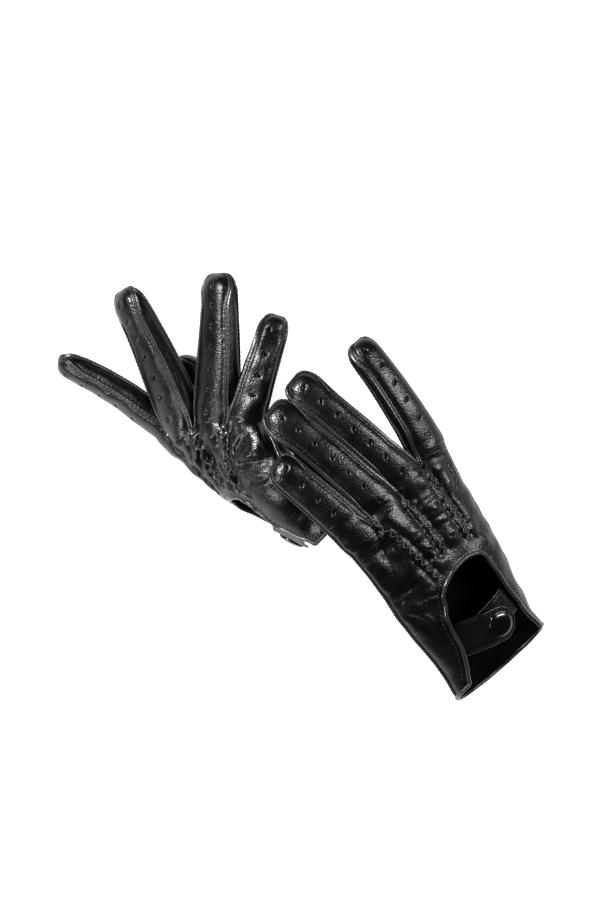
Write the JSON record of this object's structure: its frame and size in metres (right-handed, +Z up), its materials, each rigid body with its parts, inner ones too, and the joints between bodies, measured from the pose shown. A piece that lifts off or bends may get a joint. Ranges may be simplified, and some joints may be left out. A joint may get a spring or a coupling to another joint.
{
  "type": "leather driving gloves",
  "caption": "Pair of black leather driving gloves with perforated fingers, gathered points, a keyhole back and a snap strap, lying one over the other.",
  "frame": {"origin": "centre of the bottom of the pair's box, on the surface that the gloves lie on", "axes": "+Z up, +Y along the left glove from its cuff to its fingertips, +X towards its thumb side"},
  "size_m": [0.171, 0.3332, 0.0923],
  "materials": {
    "glove_leather": "smooth semi-gloss black nappa",
    "side_wall_leather": "smooth semi-gloss black nappa",
    "edge_leather": "folded black nappa edge",
    "strap_leather": "smooth semi-gloss black nappa",
    "point_leather": "gathered black nappa ridge with thread",
    "snap_cap": "gloss black enamel over brass",
    "snap_metal": "dark nickel"
  },
  "bodies": {
    "right_glove": {"right_back_panel": "glove_leather", "right_palm_panel": "glove_leather", "right_fourchette_index_middle": "side_wall_leather", "right_fourchette_middle_ring": "side_wall_leather", "right_fourchette_ring_little": "side_wall_leather", "right_thumb_back": "glove_leather", "right_thumb_front": "glove_leather", "right_keyhole_binding": "edge_leather", "right_cuff_hem": "edge_leather", "right_point_inner": "point_leather", "right_point_centre": "point_leather", "right_point_outer": "point_leather", "right_strap_root": "strap_leather", "right_stud_tab": "strap_leather", "right_snap_stud": "snap_metal", "right_snap_post": "snap_metal"},
    "right_strap": {"right_strap": "strap_leather", "right_snap_cap": "snap_cap", "right_snap_socket": "snap_metal"},
    "left_glove": {"left_back_panel": "glove_leather", "left_palm_panel": "glove_leather", "left_fourchette_index_middle": "side_wall_leather", "left_fourchette_middle_ring": "side_wall_leather", "left_fourchette_ring_little": "side_wall_leather", "left_thumb_back": "glove_leather", "left_thumb_front": "glove_leather", "left_keyhole_binding": "edge_leather", "left_cuff_hem": "edge_leather", "left_point_inner": "point_leather", "left_point_centre": "point_leather", "left_point_outer": "point_leather", "left_strap_root": "strap_leather", "left_stud_tab": "strap_leather", "left_snap_stud": "snap_metal", "left_snap_post": "snap_metal"},
    "left_strap": {"left_strap": "strap_leather", "left_snap_cap": "snap_cap", "left_snap_socket": "snap_metal"}
  },
  "joints": [
    {"name": "left_glove_lift", "type": "slide", "parent": "right_glove", "child": "left_glove", "axis": [0, 0, 1], "range_m": [0, 0.15]},
    {"name": "left_strap_hinge", "type": "hinge", "parent": "left_glove", "child": "left_strap", "pos_m": [0.02045, -0.13386, 0.05234], "axis": [-0.2835, -0.912, -0.2963], "range_deg": [0, 120]},
    {"name": "right_strap_hinge", "type": "hinge", "parent": "right_glove", "child": "right_strap", "pos_m": [-0.02912, -0.01556, 0.04965], "axis": [-0.4373, 0.8669, -0.2393], "range_deg": [0, 120]}
  ]
}
